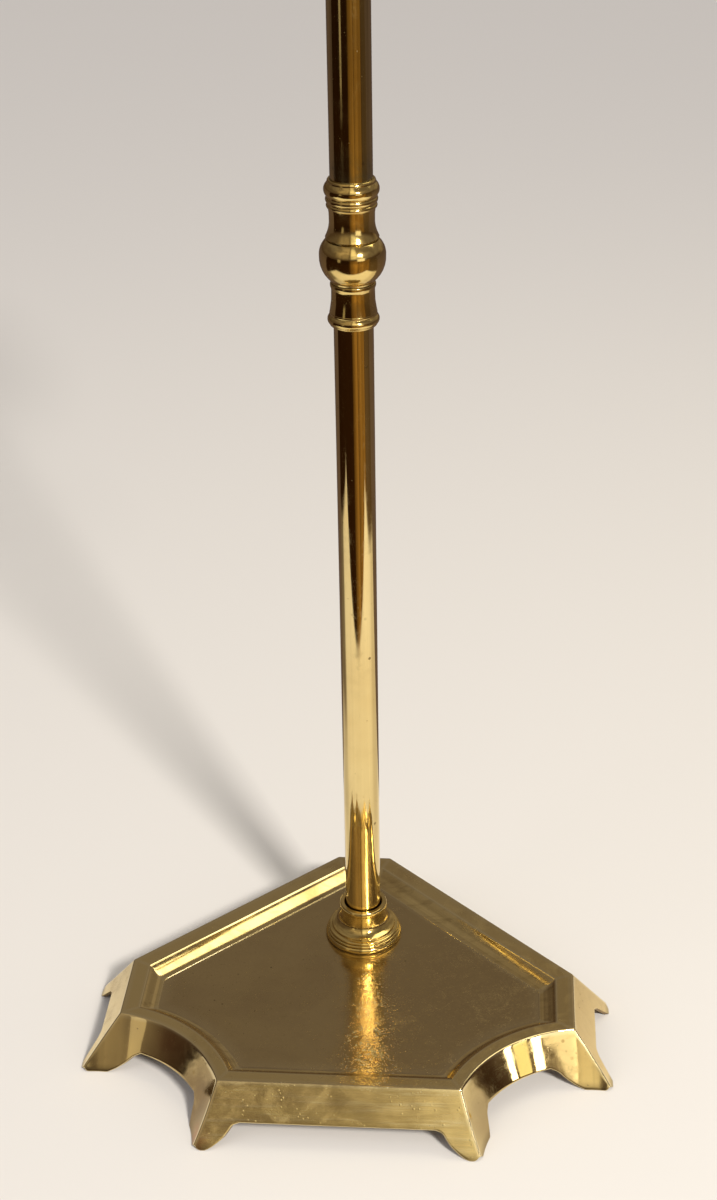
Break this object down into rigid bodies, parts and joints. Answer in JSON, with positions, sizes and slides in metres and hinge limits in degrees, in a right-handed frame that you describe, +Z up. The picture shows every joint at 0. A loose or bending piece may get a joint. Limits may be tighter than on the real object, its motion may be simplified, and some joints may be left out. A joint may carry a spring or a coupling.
{
  "type": "bible stand",
  "caption": "Brass floor-standing book rest: sunk cast tray base on claw corners, turned and jointed tube column with curled side arms, sliding, swivelling and tilting desk.",
  "frame": {"origin": "the centre of the base footprint, which is also the centre of the bounding box, at floor level; the column axis stands 5.2 mm to the right of it and 44 mm behind it", "axes": "+Z up along the column; the reader stands on the -Y side and faces +Y; +X to the reader's right"},
  "size_m": [0.374, 0.313, 1.2337],
  "materials": {
    "tray_brass": "cast and polished brass, darkened and pitted on the sunk floor, brighter on the rim and arrises",
    "turned_brass": "lathe turned and polished, dark in the quirks",
    "tube_brass": "drawn tube, hand polished",
    "rod_brass": "drawn rod, polished",
    "cast_brass": "satin casting",
    "desk_brass": "polished plate, lightly brushed",
    "screw_brass": "slotted screws",
    "steel": "plain steel, hidden hardware"
  },
  "bodies": {
    "column": {"base_tray": "tray_brass", "base_washer": "steel", "base_nut": "steel", "tie_rod": "steel", "column_socket": "turned_brass", "lower_tube": "tube_brass", "knop_coupling": "turned_brass", "knop_lower_collar": "turned_brass", "knop_ball": "turned_brass", "knop_upper_collar": "turned_brass", "upper_tube": "tube_brass", "arm_collar": "turned_brass", "arm_collar_screw": "steel", "scroll_arm_left": "rod_brass", "scroll_arm_right": "rod_brass", "arm_ball_left": "turned_brass", "arm_ball_right": "turned_brass", "guide_bush": "turned_brass", "clamp_collar": "turned_brass"},
    "height_screw": {"height_screw": "rod_brass"},
    "stem": {"inner_stem": "tube_brass", "stem_foot": "turned_brass", "stem_spigot": "turned_brass"},
    "head": {"head_knuckle": "turned_brass"},
    "swivel_screw": {"swivel_screw": "rod_brass"},
    "desk": {"desk_bracket": "cast_brass", "bracket_screws": "screw_brass", "desk_plate": "desk_brass", "ledge": "desk_brass", "ledge_screws": "screw_brass", "tilt_bolt": "steel", "tilt_washers": "turned_brass", "page_holder_pins": "screw_brass"},
    "tilt_wing_nut": {"tilt_wing_nut": "rod_brass"},
    "page_holder_left": {"page_holder_left": "rod_brass"},
    "page_holder_right": {"page_holder_right": "rod_brass"}
  },
  "joints": [
    {"name": "height_slide", "type": "slide", "parent": "column", "child": "stem", "axis": [0, 0, 1], "range_m": [0, 0.2]},
    {"name": "height_screw_turn", "type": "hinge", "parent": "column", "child": "height_screw", "pos_m": [0.0252, 0.044, 0.986], "axis": [1, 0, 0], "range_deg": [0, 540]},
    {"name": "head_swivel", "type": "hinge", "parent": "stem", "child": "head", "pos_m": [0.0052, 0.044, 1.0781], "axis": [0, 0, 1], "continuous": true},
    {"name": "swivel_screw_turn", "type": "hinge", "parent": "head", "child": "swivel_screw", "pos_m": [0.0052, 0.059, 1.088], "axis": [0, 1, 0], "range_deg": [0, 360]},
    {"name": "desk_tilt", "type": "hinge", "parent": "head", "child": "desk", "pos_m": [0.0052, 0.044, 1.126], "axis": [1, 0, 0], "range_deg": [-35, 35]},
    {"name": "wing_nut_turn", "type": "hinge", "parent": "desk", "child": "tilt_wing_nut", "pos_m": [0.0232, 0.044, 1.126], "axis": [1, 0, 0], "range_deg": [0, 360]},
    {"name": "page_holder_left_swing", "type": "hinge", "parent": "desk", "child": "page_holder_left", "pos_m": [-0.1168, -0.08519, 1.11611], "axis": [0, -0.5736, 0.8192], "range_deg": [0, 105]},
    {"name": "page_holder_right_swing", "type": "hinge", "parent": "desk", "child": "page_holder_right", "pos_m": [0.1272, -0.08519, 1.11611], "axis": [0, 0.5736, -0.8192], "range_deg": [0, 105]}
  ]
}
